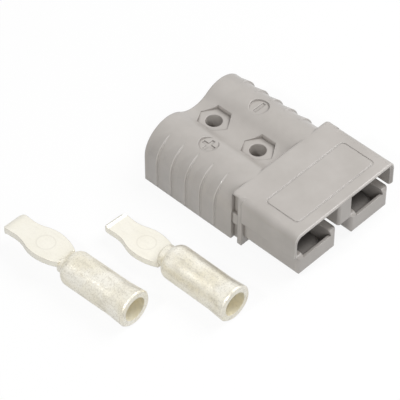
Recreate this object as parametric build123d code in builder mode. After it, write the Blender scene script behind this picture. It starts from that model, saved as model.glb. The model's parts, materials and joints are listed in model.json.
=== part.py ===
"""Genderless two-pole power connector: moulded housing, leaf springs and loose crimp contacts.

Millimetres, +Z up, mating direction -Y. The origin is the middle of the two bolt holes,
on the flat underside.
"""

import os
from math import radians, sin

from build123d import *

# Overall housing
body_width = 56.0
body_height = 25.4
body_length = 80.9
hood_length = 28.45

# Hood over the mating space; heights of its lower edges are counted from the middle plane
hood_overhang = 0.4
hood_roof = 2.0
hood_wall = 1.5
hood_wall_lift = 0.05
hood_lead_in = 1.0
hood_lead_in_slope = 45.0
key_width = 7.8
key_lift = 0.7
key_setback = 0.15
key_corner_radius = 1.2

# Contact trays under the hood
tray_clearance = 0.2
tray_side_clearance = 0.5
tray_floor = 2.0
tray_rim_drop = 0.5
tray_front_wall = 1.3
tray_front_drop = 2.05
tray_setback = 0.65
tray_edge_radius = 2.8
tray_corner_radius = 1.7
tray_nose_radius = 2.1
tray_lower_radius = 1.2
tongue_clearance = 0.35

# Valley between the two cable barrels
valley_depth = 5.1

# Edges of the front block and the hood
block_corner_radius = 2.0
block_edge_radius = 2.0
hood_shoulder_radius = 3.2
hood_edge = 0.5
hood_corner_radius = 2.0

# Slots in the sides of the front block
flange_thickness = 2.15
slot_width = 3.4
slot_rear_land = 0.9
slot_depth = 2.0
slot_web_bottom = 8.7
slot_web_height = 5.7
slot_web_recess = 0.7
slot_roof = 0.8

# Finger ridges on the outer side of each barrel
ridge_count = 5
ridge_front_gap = 7.6
ridge_rear_gap = 7.36
ridge_height = 0.8
ridge_length = 4.8
ridge_fall = 0.3
ridge_foot = 1.5
ridge_sweep = 78.0
ridge_inset = 2.15
ridge_lift = 0.8
ridge_root = 1.0

# Bolt holes with hexagon recesses
bolt_spacing = 23.8
bolt_hole_diameter = 7.0
hex_corner_radius = 7.25
hex_turn = 30.0
hex_floor_drop = 0.3

# Polarity marks
mark_offset = 0.9
mark_pitch = 29.0
mark_diameter = 8.2
mark_depth = 0.9
mark_length = 6.0
mark_stroke = 1.5
mark_stroke_depth = 0.35

# Bare label frame on the hood
frame_width = 44.8
frame_rear = 22.0
frame_front = 5.0
frame_corner_radius = 2.0
frame_line = 0.5
frame_depth = 0.25

# Crimp contacts
contact_length = 65.0
contact_barrel_length = 34.0
contact_diameter = 14.8
contact_shoulder_radius = 3.65
contact_bore = 10.2
contact_bore_floor = 7.0
mouth_flare = 0.55
mouth_length = 8.0
mouth_edge = 0.6
neck_diameter = 9.4
neck_length = 3.2
neck_edge = 1.0
tongue_thickness = 2.5
tongue_face_height = 3.2
tongue_neck_width = 9.4
tongue_wide = 15.0
tongue_waist = 10.2
tip_width = 11.0
tip_length = 7.0
tip_bend_radius = 4.4
tip_bend_angle = 46.0
tip_corner_radius = 2.2
press_radius = 6.0
press_offset = 7.5
press_slope = 45.0

# Bore behind each tray
bore_clearance = 0.4
bore_lead_in = 1.0
passage_length = 8.15
passage_clearance = 0.4

# Leaf springs
spring_thickness = 0.8
spring_width = 11.0
spring_rise = 3.6
spring_front_gap = 1.2
spring_pocket_depth = 4.0
spring_clearance = 0.15

# Loose contacts beside the housing, the negative one turned over
positive_contact_x = -84.4
positive_contact_front = 30.1
positive_contact_turn = 2.2
positive_contact_roll = 4.0
negative_contact_x = -56.6
negative_contact_front = 4.8
negative_contact_turn = 0.3
negative_contact_roll = 184.0

# Sizes of the housing that follow from the ones above
middle_height = body_height / 2
block_length = hood_length + flange_thickness + slot_width + slot_rear_land
bolt_centre = (block_length + body_length) / 2
barrel_radius = body_height / 2
pole_x = body_width / 2 - barrel_radius
valley_height = body_height - valley_depth
valley_rise = valley_height - barrel_radius
valley_radius = (pole_x**2 + valley_rise**2 - barrel_radius**2) / (2 * (barrel_radius - valley_rise))
joint_share = barrel_radius / (barrel_radius + valley_radius)
joint_x = pole_x * (1 - joint_share)
joint_height = barrel_radius + (valley_rise + valley_radius) * joint_share
roof_height = body_height - hood_roof
hood_wall_bottom = middle_height + hood_wall_lift
hood_width = body_width + 2 * hood_overhang
hood_inner_width = hood_width - 2 * hood_wall
hood_inner_radius = hood_shoulder_radius - hood_wall
key_bottom = middle_height + key_lift
tray_bottom = hood_roof + tray_clearance
tray_top = middle_height - tray_rim_drop
tray_front_top = tray_top - tray_front_drop
tray_inner = key_width / 2 + tray_clearance
tray_outer = hood_inner_width / 2 - tray_side_clearance
tray_width = tray_outer - tray_inner
tray_x = (tray_outer + tray_inner) / 2
tray_length = hood_length - tray_setback
cavity_floor = tray_bottom + tray_floor
cavity_width = tongue_wide + 2 * tongue_clearance
slot_middle = hood_length + flange_thickness + slot_width / 2
slot_web_top = slot_web_bottom + slot_web_height
slot_top = body_height - slot_roof
hex_floor = valley_height - hex_floor_drop
mark_position = bolt_centre + mark_offset
ridge_first = block_length + ridge_front_gap
ridge_pitch = (body_length - ridge_rear_gap - ridge_first) / (ridge_count - 1)
ridge_centre_x = pole_x + ridge_inset
ridge_centre_height = barrel_radius + ridge_lift
ridge_tail_x = body_width / 2
ridge_crest_x = ridge_tail_x + ridge_height
ridge_root_x = ridge_tail_x - ridge_root

# Sizes of the contacts, and of what holds them
contact_radius = contact_diameter / 2
mouth_radius = contact_radius + mouth_flare
contact_bore_depth = contact_barrel_length - contact_bore_floor
neck_reach = contact_shoulder_radius + neck_length
neck_middle = contact_barrel_length + (neck_length - contact_shoulder_radius) / 2
tongue_start = contact_barrel_length + neck_length / 2
tongue_waist_position = contact_length - tip_length
tongue_wide_position = (contact_barrel_length + tongue_waist_position) / 2
tongue_turn_width = (tongue_wide + tongue_waist) / 2
tongue_turn_position = (tongue_wide_position + tongue_waist_position) / 2
tip_bend_start = contact_length - tip_bend_radius * sin(radians(tip_bend_angle))
press_position = contact_barrel_length + press_offset
bore_radius = mouth_radius + bore_clearance
bore_front = hood_length + passage_length
passage_width = tongue_wide + 2 * passage_clearance
passage_height = neck_diameter + 2 * passage_clearance
spring_pocket_height = spring_thickness + 2 * spring_clearance
spring_front = tray_setback + tray_front_wall + spring_front_gap
spring_rear = hood_length + spring_pocket_depth - spring_clearance
spring_middle = (hood_length + spring_front) / 2


def section_at(distance):
    """Upright cross-section plane, a distance behind the hood's front edge."""
    return Plane.XZ.offset(bolt_centre - distance)


def along(distance):
    """Model Y of a point that lies a distance behind the hood's front edge."""
    return distance - bolt_centre


# Tray that carries a contact's tongue, with a rounded underside and nose
with BuildPart() as tray:
    with BuildSketch(section_at(hood_length)) as tray_section:
        with Locations((0, (tray_bottom + tray_top) / 2)):
            Rectangle(tray_width, tray_top - tray_bottom)
        fillet(tray_section.vertices().group_by(Axis.Y)[0], tray_edge_radius)
    extrude(amount=tray_length)
    with BuildSketch(Plane.YZ) as tray_side:
        with Locations((along(hood_length - tray_length / 2), (tray_bottom + tray_top) / 2)):
            Rectangle(tray_length, tray_top - tray_bottom)
        fillet(tray_side.vertices().group_by(Axis.X)[0].sort_by(Axis.Y)[-1], tray_nose_radius)
        fillet(tray_side.vertices().group_by(Axis.X)[0].sort_by(Axis.Y)[0], tray_lower_radius)
    extrude(amount=tray_width, both=True, mode=Mode.INTERSECT)
    with BuildSketch(Plane.XY) as tray_plan:
        with Locations((0, along(hood_length - tray_length / 2))):
            Rectangle(tray_width, tray_length)
        fillet(tray_plan.vertices().group_by(Axis.Y)[0], tray_corner_radius)
    extrude(amount=tray_top, mode=Mode.INTERSECT)

# Hood from its side outline, with rounded shoulders
with BuildPart() as hood:
    with BuildSketch(Plane.YZ) as hood_outline:
        with Locations((along(hood_length / 2), (hood_wall_bottom + body_height) / 2)):
            Rectangle(hood_length, body_height - hood_wall_bottom)
        fillet(hood_outline.vertices().group_by(Axis.Y)[0].sort_by(Axis.X)[0], hood_corner_radius)
    extrude(amount=hood_width / 2, both=True)
    fillet(hood.edges().filter_by(Axis.Y).group_by(Axis.Z)[-1], hood_shoulder_radius)
    chamfer(hood.faces().sort_by(Axis.Y)[0].edges().sort_by(Axis.Z)[-1], hood_edge)

# Housing, moulded as one piece
with BuildPart() as housing:
    # Front block with rounded outer edges, and the hood before it
    with BuildSketch(section_at(block_length)):
        with Locations((0, body_height / 2)):
            Rectangle(body_width, body_height)
    extrude(amount=block_length - hood_length)
    fillet(housing.edges().filter_by(Axis.Z).group_by(Axis.Y)[-1], block_corner_radius)
    fillet(housing.faces().sort_by(Axis.Z)[-1].edges().sort_by(Axis.Y)[1:], block_edge_radius)
    add(hood.part)

    # Open space under the hood, with a lead-in round its mouth
    with BuildSketch(section_at(hood_length)) as space_section:
        with Locations((0, roof_height / 2)):
            Rectangle(hood_inner_width, roof_height)
        fillet(space_section.vertices().group_by(Axis.Y)[-1], hood_inner_radius)
    extrude(amount=hood_length, mode=Mode.SUBTRACT)
    with BuildSketch(section_at(hood_lead_in)) as mouth_section:
        with Locations((0, roof_height / 2)):
            Rectangle(hood_inner_width, roof_height)
        fillet(mouth_section.vertices().group_by(Axis.Y)[-1], hood_inner_radius)
    extrude(amount=hood_lead_in, taper=-hood_lead_in_slope, mode=Mode.SUBTRACT)

    # Twin cable barrels with a valley between them
    with BuildSketch(section_at(body_length)):
        with BuildLine():
            Polyline((-body_width / 2, barrel_radius), (-body_width / 2, 0), (body_width / 2, 0),
                     (body_width / 2, barrel_radius))
            TangentArc((body_width / 2, barrel_radius), (joint_x, joint_height), tangent=(0, 1))
            ThreePointArc((joint_x, joint_height), (0, valley_height), (-joint_x, joint_height))
            TangentArc((-body_width / 2, barrel_radius), (-joint_x, joint_height), tangent=(0, 1))
        make_face()
    extrude(amount=body_length - hood_length)

    # Key that hangs from the hood between the trays
    with BuildSketch(Plane.XY.offset(key_bottom)) as key_plan:
        with Locations((0, along((key_setback + hood_length) / 2))):
            Rectangle(key_width, hood_length - key_setback)
        fillet(key_plan.vertices().group_by(Axis.Y)[0], key_corner_radius)
    extrude(amount=roof_height + hood_lead_in - key_bottom)

    # Two trays, each with its cavity and the lower part of its front wall
    with GridLocations(2 * tray_x, 0, 2, 1):
        add(tray.part)
    with BuildSketch(section_at(hood_length)):
        with GridLocations(2 * tray_x, 0, 2, 1):
            with Locations((0, (cavity_floor + tray_top) / 2)):
                Rectangle(cavity_width, tray_top - cavity_floor)
    extrude(amount=tray_length - tray_front_wall, mode=Mode.SUBTRACT)
    with BuildSketch(section_at(hood_length)):
        with GridLocations(2 * tray_x, 0, 2, 1):
            with Locations((0, (tray_front_top + tray_top) / 2)):
                Rectangle(cavity_width, tray_top - tray_front_top)
    extrude(amount=hood_length, mode=Mode.SUBTRACT)

    # Cable bores from the rear, and the passage from each bore to its tray
    with BuildSketch(section_at(body_length)):
        with GridLocations(2 * pole_x, 0, 2, 1):
            with Locations((0, barrel_radius)):
                Circle(bore_radius)
    extrude(amount=body_length - bore_front, mode=Mode.SUBTRACT)
    rear_edges = housing.faces().sort_by(Axis.Y)[-1].edges().filter_by(GeomType.CIRCLE)
    chamfer(rear_edges.filter_by(lambda edge: edge.is_closed), bore_lead_in)
    with BuildSketch(section_at(bore_front)):
        with GridLocations(2 * tray_x, 0, 2, 1):
            with Locations((0, barrel_radius)):
                Rectangle(passage_width, passage_height)
    extrude(amount=bore_front - hood_length, mode=Mode.SUBTRACT)

    # Pocket that holds the rear end of each leaf spring
    with BuildSketch(section_at(hood_length + spring_pocket_depth)):
        with GridLocations(2 * tray_x, 0, 2, 1):
            with Locations((0, cavity_floor + spring_pocket_height / 2)):
                Rectangle(spring_width + 2 * spring_clearance, spring_pocket_height)
    extrude(amount=spring_pocket_depth, mode=Mode.SUBTRACT)

    # Slots in the sides of the front block, above and below a set-back web
    for side in (-1, 1):
        with BuildSketch(Plane.YZ.offset(side * body_width / 2)):
            with Locations((along(slot_middle), slot_web_bottom / 2)):
                Rectangle(slot_width, slot_web_bottom)
            with Locations((along(slot_middle), (slot_web_top + slot_top) / 2)):
                Rectangle(slot_width, slot_top - slot_web_top)
        extrude(amount=-side * slot_depth, mode=Mode.SUBTRACT)
        with BuildSketch(Plane.YZ.offset(side * body_width / 2)):
            with Locations((along(slot_middle), (slot_web_bottom + slot_web_top) / 2)):
                Rectangle(slot_width, slot_web_height)
        extrude(amount=-side * slot_web_recess, mode=Mode.SUBTRACT)

    # Bolt holes with hexagon recesses in the valley
    with BuildSketch(Plane.XY.offset(hex_floor)):
        with GridLocations(0, bolt_spacing, 1, 2):
            RegularPolygon(hex_corner_radius, side_count=6, rotation=hex_turn)
    extrude(amount=body_height - hex_floor, mode=Mode.SUBTRACT)
    with BuildSketch(Plane.XY):
        with GridLocations(0, bolt_spacing, 1, 2):
            Circle(bolt_hole_diameter / 2)
    extrude(amount=body_height, mode=Mode.SUBTRACT)

    # Round seats for the polarity marks, then the marks themselves
    with BuildSketch(Plane.XY.offset(body_height - mark_depth)):
        with Locations((-mark_pitch / 2, along(mark_position)), (mark_pitch / 2, along(mark_position))):
            Circle(mark_diameter / 2)
    extrude(amount=mark_depth, mode=Mode.SUBTRACT)
    with BuildSketch(Plane.XY.offset(body_height - mark_depth - mark_stroke_depth)):
        with Locations((-mark_pitch / 2, along(mark_position)), (mark_pitch / 2, along(mark_position))):
            Rectangle(mark_length, mark_stroke)
        with Locations((-mark_pitch / 2, along(mark_position))):
            Rectangle(mark_stroke, mark_length)
    extrude(amount=mark_stroke_depth, mode=Mode.SUBTRACT)

    # Fine outline of a bare label field on the hood
    with BuildSketch(Plane.XY.offset(body_height - frame_depth)):
        with Locations((0, along((frame_front + frame_rear) / 2))):
            RectangleRounded(frame_width, frame_rear - frame_front, frame_corner_radius)
            RectangleRounded(frame_width - 2 * frame_line, frame_rear - frame_front - 2 * frame_line,
                             frame_corner_radius - frame_line, mode=Mode.SUBTRACT)
    extrude(amount=frame_depth, mode=Mode.SUBTRACT)

    # Finger ridges: upright below the barrel's middle, swept round the barrel above it
    for side in (-1, 1):
        with BuildSketch(Plane.XY.offset(ridge_centre_height)) as ridge_section:
            for ridge in range(ridge_count):
                front = along(ridge_first + ridge * ridge_pitch)
                with BuildLine():
                    Polyline((side * ridge_root_x, front), (side * ridge_tail_x, front),
                             (side * ridge_crest_x, front + ridge_fall),
                             (side * ridge_tail_x, front + ridge_length),
                             (side * ridge_root_x, front + ridge_length), close=True)
                make_face()
        extrude(amount=ridge_foot - ridge_centre_height)
        ridge_axis = Axis((side * ridge_centre_x, 0, ridge_centre_height), (0, 1, 0))
        revolve(ridge_section.sketch, axis=ridge_axis, revolution_arc=-side * ridge_sweep)

# Leaf spring, arched from the tray floor towards the tongue
with BuildPart() as leaf_spring:
    with BuildSketch(Plane.YZ):
        with BuildLine():
            for level in (cavity_floor, cavity_floor + spring_thickness):
                tail = Line((along(spring_rear), level), (along(hood_length), level))
                ThreePointArc(tail @ 1, (along(spring_middle), level + spring_rise), (along(spring_front), level))
            for end in (along(spring_rear), along(spring_front)):
                Line((end, cavity_floor), (end, cavity_floor + spring_thickness))
        make_face()
    extrude(amount=spring_width / 2, both=True)

# Crimp contact: flat tongue with a bent tip, pressed neck and bored barrel with a flared mouth
with BuildPart() as contact:
    # Tongue from its bent side profile, trimmed to its plan outline
    with BuildSketch(Plane.YZ):
        with BuildLine():
            face = Line((contact_barrel_length, tongue_face_height), (tip_bend_start, tongue_face_height))
            JernArc(face @ 1, face % 1, tip_bend_radius, -tip_bend_angle)
            offset(amount=tongue_thickness, side=Side.RIGHT)
        make_face()
    extrude(amount=tongue_wide, both=True)
    with BuildSketch(Plane.XY) as tongue_plan:
        with BuildLine():
            widest = (tongue_wide / 2, tongue_wide_position)
            turn = (tongue_turn_width / 2, tongue_turn_position)
            waist = (tongue_waist / 2, tongue_waist_position)
            Line((0, tongue_start), (tongue_neck_width / 2, tongue_start))
            TangentArc(widest, (tongue_neck_width / 2, tongue_start), tangent=(0, -1))
            TangentArc(widest, turn, tangent=(0, 1))
            TangentArc(waist, turn, tangent=(0, -1))
            Polyline(waist, (tip_width / 2, contact_length), (0, contact_length))
            mirror(about=Plane.YZ)
        make_face()
        fillet(tongue_plan.vertices().group_by(Axis.Y)[-1], tip_corner_radius)
    extrude(amount=contact_diameter, both=True, mode=Mode.INTERSECT)

    # Neck with a chamfered end, pressed down to the level of the tongue's face
    with BuildSketch(Plane.YZ) as neck_section:
        with Locations((neck_middle, neck_diameter / 4)):
            Rectangle(neck_reach, neck_diameter / 2)
        chamfer(neck_section.vertices().group_by(Axis.Y)[-1].sort_by(Axis.X)[-1], neck_edge)
    revolve(axis=Axis.Y)
    with BuildSketch(Plane.XY.offset(tongue_face_height)):
        with Locations((0, press_position)):
            Circle(press_radius)
    extrude(amount=contact_radius - tongue_face_height, taper=-press_slope, mode=Mode.SUBTRACT)

    # Barrel with a domed shoulder and a flared, chamfered mouth
    with BuildSketch(Plane.YZ) as barrel_section:
        with BuildLine():
            Polyline((0, mouth_radius), (mouth_length, contact_radius), (contact_barrel_length, contact_radius),
                     (contact_barrel_length, 0), (0, 0), close=True)
        make_face()
        fillet(barrel_section.vertices().group_by(Axis.X)[-1].sort_by(Axis.Y)[-1], contact_shoulder_radius)
        chamfer(barrel_section.vertices().group_by(Axis.X)[0].sort_by(Axis.Y)[-1], mouth_edge)
    revolve(axis=Axis.Y)
    with BuildSketch(Plane.XZ):
        Circle(contact_bore / 2)
    extrude(amount=-contact_bore_depth, mode=Mode.SUBTRACT)

# Springs in their trays
with BuildPart() as positive_spring:
    with Locations((-tray_x, 0, 0)):
        add(leaf_spring.part)

with BuildPart() as negative_spring:
    with Locations((tray_x, 0, 0)):
        add(leaf_spring.part)

# Contacts lying on the floor
with BuildPart() as positive_contact:
    with Locations(Location((positive_contact_x, along(positive_contact_front), mouth_radius),
                            (0, 0, positive_contact_turn))):
        add(contact.part, rotation=(0, positive_contact_roll, 0))

with BuildPart() as negative_contact:
    with Locations(Location((negative_contact_x, along(negative_contact_front), mouth_radius),
                            (0, 0, negative_contact_turn))):
        add(contact.part, rotation=(0, negative_contact_roll, 0))

# One file for each piece
os.makedirs("parts", exist_ok=True)
housing.part.label = "housing"
export_step(housing.part, "parts/housing.step")
positive_spring.part.label = "positive_spring"
export_step(positive_spring.part, "parts/positive_spring.step")
negative_spring.part.label = "negative_spring"
export_step(negative_spring.part, "parts/negative_spring.step")
positive_contact.part.label = "positive_contact"
export_step(positive_contact.part, "parts/positive_contact.step")
negative_contact.part.label = "negative_contact"
export_step(negative_contact.part, "parts/negative_contact.step")
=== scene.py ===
"""Looks of the genderless power connector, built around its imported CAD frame."""

import json
from math import asin, cos, radians, sin

import bpy
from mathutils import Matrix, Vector


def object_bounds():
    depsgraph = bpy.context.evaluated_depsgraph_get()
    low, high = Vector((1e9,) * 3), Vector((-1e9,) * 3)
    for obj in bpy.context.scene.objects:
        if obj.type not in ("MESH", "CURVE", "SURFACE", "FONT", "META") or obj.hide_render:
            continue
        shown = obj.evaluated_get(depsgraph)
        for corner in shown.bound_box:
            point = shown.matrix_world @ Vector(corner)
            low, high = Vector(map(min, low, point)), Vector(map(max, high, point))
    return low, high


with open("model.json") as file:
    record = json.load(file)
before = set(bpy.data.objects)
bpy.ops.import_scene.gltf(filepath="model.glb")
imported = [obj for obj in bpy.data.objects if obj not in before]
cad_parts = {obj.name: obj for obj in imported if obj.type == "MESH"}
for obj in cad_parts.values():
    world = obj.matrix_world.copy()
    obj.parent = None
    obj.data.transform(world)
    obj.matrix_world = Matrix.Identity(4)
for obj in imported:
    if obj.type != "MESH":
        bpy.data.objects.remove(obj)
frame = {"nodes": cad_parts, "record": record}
cad_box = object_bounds()

# Lengths are in metres, in the part's own frame
MILLIMETRE = 0.001
FRONT = cad_box[0][1]
TOP = cad_box[1][2]
MOUNTS = {mount["name"]: mount for mount in frame["record"]["mounts"]}

# Camera, fitted to the outline in the photograph, with its lens in millimetres
CAMERA_TARGET = Vector((-0.02818, -0.00751, 0.00984))
CAMERA_AZIMUTH = radians(-46.166)
CAMERA_ELEVATION = radians(46.415)
CAMERA_DISTANCE = 0.9
CAMERA_LENS = 207.8

# Lamps by place, size and power: a large soft one above, a weaker one in front and a small one for glints
LAMPS = {
    "key": ((0.42, -0.20, 0.66), 0.7, 4.4),
    "fill": ((-0.42, -0.64, 0.46), 0.5, 1.8),
    "glint": ((-0.52, 0.0, 0.56), 0.07, 1.2),
}

# An even sky, and the white of the floor and backdrop as seen directly or in reflections
SKY_LEVEL = 0.27
WHITE_LEVEL = 1.0
MIRROR_LEVEL = 0.8
FLOOR_SIZE = 6.0
FLOOR_DROP = 0.0001
FLOOR_GLOW = 0.9

# Colours, linear
PLASTIC_LIGHT = (0.528, 0.497, 0.468, 1)
PLASTIC_DARK = (0.482, 0.452, 0.423, 1)
PLASTIC_WORN = (0.600, 0.575, 0.548, 1)
# Painted highlight colour for the ridge crests and the hood's lip
PLASTIC_PAINTED_HIGHLIGHT = (0.720, 0.695, 0.670, 1)
# Painted shade colour for corners
PLASTIC_CORNER_SHADE = (0.230, 0.205, 0.185, 1)
SILVER_LIGHT = (0.985, 0.955, 0.860, 1)
SILVER_DARK = (0.905, 0.850, 0.690, 1)
SILVER_TONGUE = (0.980, 0.950, 0.850, 1)
SILVER_EDGE = (0.520, 0.480, 0.400, 1)
SILVER_SMUDGE = (0.560, 0.520, 0.420, 1)
BORE_LIGHT = (0.980, 0.935, 0.770, 1)
BORE_DARK = (0.950, 0.860, 0.620, 1)
# Spring colours, darkened far below bright steel as painted shade of the trays
SPRING_SHADE_LIGHT = (0.135, 0.126, 0.119, 1)
SPRING_SHADE_DARK = (0.108, 0.101, 0.094, 1)
FLOOR_PAINT = (0.5, 0.5, 0.5, 1)
WHITE = (1, 1, 1, 1)

# Noise patterns in cells per metre, how they are stretched, and the part of their range that is used
PLASTIC_CLOUD = 70.0
PLASTIC_CLOUD_SPAN = (0.35, 0.65)
PLASTIC_GRAIN = 2200.0
SILVER_CLOUD = 110.0
SILVER_CLOUD_SPAN = (0.32, 0.62)
SILVER_GRAIN = 1500.0
BORE_CLOUD_SPAN = (0.3, 0.7)
SPECKLE_SPAN = (0.38, 0.50)
STREAK = 420.0
STREAK_STRETCH = (1.0, 0.3, 1.0)
STREAK_SPAN = (0.50, 0.68)
STEEL_LINE = 14000.0
STEEL_LINE_STRETCH = (1.0, 0.02, 0.02)
STEEL_LINE_SPAN = (0.3, 0.7)

# Relief: its strength, for silver on a smooth and on a blasted face, and its depth
PLASTIC_RELIEF = 0.06
PLASTIC_RELIEF_DEPTH = 0.0001
SILVER_RELIEF = (0.1, 0.5)
SILVER_RELIEF_DEPTH = 0.0002
STEEL_RELIEF = 0.1
STEEL_RELIEF_DEPTH = 0.0001

# Roughness where the pattern is low and where it is high
PLASTIC_ROUGHNESS = (0.15, 0.23)
SILVER_ROUGHNESS = (0.24, 0.38)
STEEL_ROUGHNESS = (0.42, 0.55)
PLASTIC_IOR = 1.5

# Samples of the nodes that look around a point
SAMPLES = 8

# Rounding of edges, and cosines of the rounded turn at which an edge counts in full and not at all
PLASTIC_ROUNDING = 0.0006
SILVER_ROUNDING = 0.0003
WORN_EDGE = (0.86, 0.99)
LIP_EDGE = (0.95, 0.995)
RIDGE_EDGE = (0.97, 0.995)
SILVER_RIM = (0.80, 0.99)

# Wear on the edges, between its least and its most
WEAR = (0.1, 0.5)

# Painted shade in narrow and wide corners: its reach, its most, and the openness over which it fades; less
# on top
NARROW_CORNER_SHADE = (0.001, 0.9, (0.58, 0.92))
WIDE_CORNER_SHADE = (0.004, 0.7, (0.25, 0.60))
CORNER_SHADE_TOP = (TOP - 0.0010, TOP - 0.0004)
CORNER_SHADE_ON_TOP = 0.1

# Zone of the hood's lip beside the key, which gets a painted highlight, as the start and end of each fade
LIP_BACK = (FRONT + 0.0007, FRONT + 0.0017)
LIP_BOTTOM = (TOP / 2 - 0.0003, TOP / 2 + 0.0003)
LIP_SIDE = (0.0041, 0.0043)

# Zone of the finger ridges in the same way, and how far their crests get a painted highlight and are
# smoothed
RIDGE_FRONT = (-0.0200, -0.0190)
RIDGE_TOP = (TOP - 0.0014, TOP - 0.0008)
RIDGE_SIDE = (0.0170, 0.0180)
RIDGE_HIGHLIGHT = 0.5
RIDGE_SMOOTHING = 0.5

# Contacts: each one's roll in degrees, how deep in its bore the mount lies, and the bore's margin and fade
CONTACT_ROLLS = {"positive_contact": 4.0, "negative_contact": 184.0}
MOUNT_DEPTH = 0.013
BORE_MARGIN = 0.0005
BORE_FADE = 1.03

# Where the barrel ends and the tongue begins, and how blasted and metallic each is
TONGUE_START = (0.034, 0.038)
TONGUE_BLASTED = 0.2
TONGUE_METAL = 0.30
BARREL_METAL = 0.62

# Most that speckles and smudges cover, and the faint ring on the tongue
SPECKLE = 0.4
SMUDGE = 0.5
RING_MIDDLE = 0.0465
RING_RADIUS = 0.0038
RING_HALF_WIDTH = 0.0003
RING_SHADE = 0.15
RING_RELIEF = 0.4


def new_material(name):
    """An empty node material, and a function that adds nodes to it."""
    material = bpy.data.materials.new(name)
    material.use_nodes = True
    material.node_tree.nodes.clear()
    return material, node_maker(material.node_tree)


def node_maker(tree):
    """A function that adds a node to a tree and sets or links its inputs."""
    def make(kind, inputs=(), **settings):
        node = tree.nodes.new(kind)
        for key, value in settings.items():
            setattr(node, key, value)
        for key, value in dict(inputs).items():
            if isinstance(value, bpy.types.NodeSocket):
                tree.links.new(value, node.inputs[key])
            else:
                node.inputs[key].default_value = value
        return node
    return make


def worked_out(make, operation, *values):
    """The result of an operation on values."""
    return make("ShaderNodeMath", dict(enumerate(values)), operation=operation).outputs[0]


def times(make, product, *others):
    """The product of values."""
    for other in others:
        product = worked_out(make, "MULTIPLY", product, other)
    return product


def vector_sum(make, operation, *vectors):
    """A node with the result of an operation on vectors."""
    return make("ShaderNodeVectorMath", dict(enumerate(vectors)), operation=operation)


def distance(make, vector, axes):
    """The length of a vector along some of its axes."""
    flat = vector_sum(make, "MULTIPLY", vector, axes).outputs["Vector"]
    return vector_sum(make, "LENGTH", flat).outputs["Value"]


def ramp(make, value, span, low_colour, high_colour):
    """A colour that goes from one to another over a span of values."""
    node = make("ShaderNodeValToRGB", {"Fac": value})
    for element, position, colour in zip(node.color_ramp.elements, span, (low_colour, high_colour)):
        element.position = position
        element.color = colour
    return node.outputs["Color"]


def mixed(make, share, first, second):
    """A mix of two colours, with a share of the second."""
    return make("ShaderNodeMix", {0: share, 6: first, 7: second}, data_type="RGBA").outputs[2]


def noise(make, place, scale, detail=3.0, roughness=0.55):
    """Noise at a place, with a scale in cells per metre."""
    inputs = {"Vector": place, "Scale": scale, "Detail": detail, "Roughness": roughness}
    return make("ShaderNodeTexNoise", inputs).outputs["Fac"]


def spread(make, value, low, high, span=(0.0, 1.0)):
    """A value that goes from low to high over a span of another, and stays there beyond it."""
    inputs = {"Value": value, "From Min": span[0], "From Max": span[1], "To Min": low, "To Max": high}
    return make("ShaderNodeMapRange", inputs).outputs["Result"]


def stretched(make, place, scale):
    """Places stretched along their axes."""
    return make("ShaderNodeMapping", {"Vector": place, "Scale": scale}).outputs["Vector"]


def soft_normal(make, radius):
    """The surface direction, rounded over edges."""
    return make("ShaderNodeBevel", {"Radius": radius}, samples=SAMPLES).outputs["Normal"]


def bumped(make, height, strength, depth, **base):
    """The surface direction with relief on it, over a base direction if one is given."""
    inputs = {"Height": height, "Strength": strength, "Distance": depth, **base}
    return make("ShaderNodeBump", inputs).outputs["Normal"]


def finish(make, inputs):
    """Ends a material with a principled shader."""
    shader = make("ShaderNodeBsdfPrincipled", inputs)
    make("ShaderNodeOutputMaterial", {"Surface": shader.outputs["BSDF"]})


def edge_share(make, soft, limits):
    """0 on open faces, rising to 1 along edges."""
    facing = make("ShaderNodeNewGeometry").outputs["Normal"]
    turn = vector_sum(make, "DOT_PRODUCT", facing, soft).outputs["Value"]
    return spread(make, turn, 1.0, 0.0, limits)


def corner_share(make, reach, most, openness):
    """0 on open faces, rising in corners."""
    inputs = {"Distance": reach}
    node = make("ShaderNodeAmbientOcclusion", inputs, samples=SAMPLES, only_local=True)
    return spread(make, node.outputs["AO"], most, 0.0, openness)


def corner_shade_share(make, parts):
    """Share of painted shade, which darkens corners, and less near the top."""
    corner = worked_out(make, "MAXIMUM", corner_share(make, *NARROW_CORNER_SHADE), corner_share(make, *WIDE_CORNER_SHADE))
    return times(make, corner, spread(make, parts["Z"], 1.0, CORNER_SHADE_ON_TOP, CORNER_SHADE_TOP))


def lip_share(make, parts, soft):
    """1 along the sharp edges of the hood's mouth, beside the key."""
    front = spread(make, parts["Y"], 1.0, 0.0, LIP_BACK)
    above = spread(make, parts["Z"], 0.0, 1.0, LIP_BOTTOM)
    beside = spread(make, worked_out(make, "ABSOLUTE", parts["X"]), 0.0, 1.0, LIP_SIDE)
    return times(make, front, above, beside, edge_share(make, soft, LIP_EDGE))


def ridge_share(make, parts, soft):
    """1 along the crests of the finger ridges and the barrels' other outer edges."""
    behind = spread(make, parts["Y"], 0.0, 1.0, RIDGE_FRONT)
    below = spread(make, parts["Z"], 1.0, 0.0, RIDGE_TOP)
    beside = spread(make, worked_out(make, "ABSOLUTE", parts["X"]), 0.0, 1.0, RIDGE_SIDE)
    return times(make, behind, below, beside, edge_share(make, soft, RIDGE_EDGE))


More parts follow.
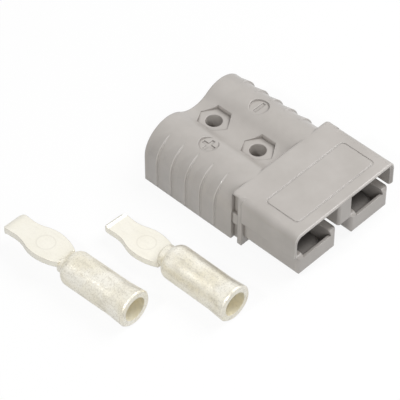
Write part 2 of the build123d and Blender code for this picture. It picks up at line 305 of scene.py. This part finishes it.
def plastic():
    """Satin moulded plastic, warm light grey."""
    material, make = new_material("housing_plastic")
    place = make("ShaderNodeTexCoord").outputs["Object"]
    parts = make("ShaderNodeSeparateXYZ", {0: place}).outputs
    cloud = noise(make, place, PLASTIC_CLOUD)
    grain = noise(make, place, PLASTIC_GRAIN, detail=2.0)
    soft = soft_normal(make, PLASTIC_ROUNDING)
    ridges = ridge_share(make, parts, soft)

    colour = ramp(make, cloud, PLASTIC_CLOUD_SPAN, PLASTIC_DARK, PLASTIC_LIGHT)
    patches = spread(make, cloud, *WEAR, PLASTIC_CLOUD_SPAN)
    colour = mixed(make, times(make, edge_share(make, soft, WORN_EDGE), patches), colour, PLASTIC_WORN)
    # Painted shade: the colour is darkened in corners, where shade falls
    colour = mixed(make, corner_shade_share(make, parts), colour, PLASTIC_CORNER_SHADE)
    # Painted highlight: the ridge crests are lightened in the colour
    colour = mixed(make, times(make, ridges, RIDGE_HIGHLIGHT), colour, PLASTIC_PAINTED_HIGHLIGHT)
    # Painted highlight: the hood's lip is lightened in the colour
    colour = mixed(make, lip_share(make, parts, soft), colour, PLASTIC_PAINTED_HIGHLIGHT)

    roughness = spread(make, grain, *PLASTIC_ROUGHNESS)
    roughness = times(make, roughness, spread(make, ridges, 1.0, RIDGE_SMOOTHING))
    normal = bumped(make, grain, PLASTIC_RELIEF, PLASTIC_RELIEF_DEPTH, Normal=soft)
    finish(make, {"Base Color": colour, "Roughness": roughness, "Normal": normal, "IOR": PLASTIC_IOR})
    return material


def contact_view(make, name):
    """Places seen from the middle of a contact's mouth, their length along it, and the share in its bore."""
    bore = MOUNTS[name.replace("contact", "wire_barrel")]
    axis = Vector(bore["axis"])
    mouth = Vector(bore["pos_m"]) + axis * MOUNT_DEPTH
    turns = (0, radians(CONTACT_ROLLS[name]), asin(axis.x))
    world = make("ShaderNodeTexCoord").outputs["Object"]
    inputs = {"Vector": world, "Location": mouth, "Rotation": turns}
    own = make("ShaderNodeMapping", inputs, vector_type="TEXTURE").outputs["Vector"]

    length = make("ShaderNodeSeparateXYZ", {0: own}).outputs["Y"]
    radius = bore["dims"]["r_mm"] * MILLIMETRE
    depth = bore["dims"]["length_mm"] * MILLIMETRE + BORE_MARGIN
    within = spread(make, distance(make, own, (1, 0, 1)), 1.0, 0.0, (radius, radius * BORE_FADE))
    before = spread(make, length, 1.0, 0.0, (depth, depth * BORE_FADE))
    return own, length, times(make, within, before)


def ring_share(make, own):
    """1 on the ring on a contact's tongue."""
    away = vector_sum(make, "SUBTRACT", own, (0, RING_MIDDLE, 0)).outputs["Vector"]
    return worked_out(make, "COMPARE", distance(make, away, (1, 1, 0)), RING_RADIUS, RING_HALF_WIDTH)


def silver(name):
    """Silver plating over copper, blasted on the barrel and warmer inside its bore."""
    material, make = new_material(name)
    own, length, inside = contact_view(make, name)
    ring = ring_share(make, own)
    blasted = spread(make, length, 1.0, TONGUE_BLASTED, TONGUE_START)
    cloud = noise(make, own, SILVER_CLOUD)
    grain = noise(make, own, SILVER_GRAIN, roughness=0.7)
    streaks = noise(make, stretched(make, own, STREAK_STRETCH), STREAK, detail=4.0, roughness=0.65)
    soft = soft_normal(make, SILVER_ROUNDING)

    colour = ramp(make, cloud, SILVER_CLOUD_SPAN, SILVER_DARK, SILVER_LIGHT)
    colour = mixed(make, blasted, SILVER_TONGUE, colour)
    speckle = spread(make, grain, SPECKLE, 0.0, SPECKLE_SPAN)
    colour = mixed(make, times(make, speckle, blasted), colour, SILVER_EDGE)
    smudge = spread(make, streaks, 0.0, SMUDGE, STREAK_SPAN)
    colour = mixed(make, times(make, smudge, blasted), colour, SILVER_SMUDGE)
    colour = mixed(make, edge_share(make, soft, SILVER_RIM), colour, SILVER_EDGE)
    colour = mixed(make, inside, colour, ramp(make, cloud, BORE_CLOUD_SPAN, BORE_DARK, BORE_LIGHT))
    colour = mixed(make, spread(make, ring, 0.0, RING_SHADE), colour, SILVER_EDGE)

    metal = spread(make, blasted, TONGUE_METAL, BARREL_METAL, (TONGUE_BLASTED, 1.0))
    metal = times(make, spread(make, inside, 1.0, 0.0), metal)
    height = times(make, grain, spread(make, ring, 1.0, RING_RELIEF))
    normal = bumped(make, height, spread(make, blasted, *SILVER_RELIEF), SILVER_RELIEF_DEPTH, Normal=soft)
    roughness = spread(make, cloud, *SILVER_ROUGHNESS)
    finish(make, {"Base Color": colour, "Metallic": metal, "Roughness": roughness, "Normal": normal})
    return material


def steel():
    """Rolled spring strip with fine lines along its length, coloured dark as painted shade for the dark
    trays it lies in.
    """
    material, make = new_material("spring_steel")
    place = make("ShaderNodeTexCoord").outputs["Object"]
    lines = noise(make, stretched(make, place, STEEL_LINE_STRETCH), STEEL_LINE)
    colour = ramp(make, lines, STEEL_LINE_SPAN, SPRING_SHADE_DARK, SPRING_SHADE_LIGHT)
    roughness = spread(make, lines, *STEEL_ROUGHNESS)
    normal = bumped(make, lines, STEEL_RELIEF, STEEL_RELIEF_DEPTH)
    finish(make, {"Base Color": colour, "Metallic": 1.0, "Roughness": roughness, "Normal": normal})
    return material


def white_share(make):
    """1 for rays from the camera or through clear pieces, somewhat less for reflected ones, 0 for others."""
    path = make("ShaderNodeLightPath").outputs
    mirrored = times(make, path["Is Glossy Ray"], MIRROR_LEVEL)
    direct = worked_out(make, "MAXIMUM", path["Is Camera Ray"], path["Is Transmission Ray"])
    return worked_out(make, "MAXIMUM", direct, mirrored)


def white_floor():
    """Floor that shows white and keeps a faint shadow, and throws back less light than it shows."""
    material, make = new_material("floor_white")
    share = times(make, white_share(make), FLOOR_GLOW)
    camera = make("ShaderNodeLightPath").outputs["Is Camera Ray"]
    paint = make("ShaderNodeBsdfDiffuse", {"Color": mixed(make, camera, FLOOR_PAINT, WHITE)})
    glow = make("ShaderNodeEmission", {"Color": WHITE, "Strength": WHITE_LEVEL})
    both = make("ShaderNodeMixShader", {0: share, 1: paint.outputs[0], 2: glow.outputs[0]})
    make("ShaderNodeOutputMaterial", {"Surface": both.outputs[0]})
    return material


def white_world():
    """Even sky that shows as a white backdrop."""
    world = bpy.data.worlds.new("studio")
    world.use_nodes = True
    world.node_tree.nodes.clear()
    make = node_maker(world.node_tree)
    sky = make("ShaderNodeBackground", {"Color": WHITE, "Strength": SKY_LEVEL})
    backdrop = make("ShaderNodeBackground", {"Color": WHITE, "Strength": WHITE_LEVEL})
    both = make("ShaderNodeMixShader", {0: white_share(make), 1: sky.outputs[0], 2: backdrop.outputs[0]})
    make("ShaderNodeOutputWorld", {"Surface": both.outputs[0]})
    return world


def aimed(name, data, place):
    """A lamp or camera that looks from a place at the camera's target."""
    holder = bpy.data.objects.new(name, data)
    holder.location = place
    holder.rotation_euler = (CAMERA_TARGET - Vector(place)).to_track_quat("-Z", "Y").to_euler()
    bpy.context.collection.objects.link(holder)
    return holder


def build_stage():
    """Floor, sky, lamps and camera."""
    bpy.ops.mesh.primitive_plane_add(size=FLOOR_SIZE, location=(0, 0, -FLOOR_DROP))
    floor = bpy.context.object
    floor.name = "floor"
    floor.data.materials.append(white_floor())
    bpy.context.scene.world = white_world()

    for name, (place, size, power) in LAMPS.items():
        lamp = bpy.data.lights.new(name, "AREA")
        lamp.shape = "DISK"
        lamp.size = size
        lamp.energy = power
        aimed(name, lamp, place)

    out = cos(CAMERA_ELEVATION)
    back = Vector((sin(CAMERA_AZIMUTH) * out, -cos(CAMERA_AZIMUTH) * out, sin(CAMERA_ELEVATION)))
    camera = bpy.data.cameras.new("camera")
    camera.lens = CAMERA_LENS
    bpy.context.scene.camera = aimed("camera", camera, CAMERA_TARGET + back * CAMERA_DISTANCE)


spring_steel = steel()
finishes = {"housing": plastic(), "positive_spring": spring_steel, "negative_spring": spring_steel,
            "positive_contact": silver("positive_contact"), "negative_contact": silver("negative_contact")}
for name, material in finishes.items():
    node = frame["nodes"][name]
    node.data.materials.clear()
    node.data.materials.append(material)

build_stage()
bpy.context.scene.view_settings.view_transform = "Standard"
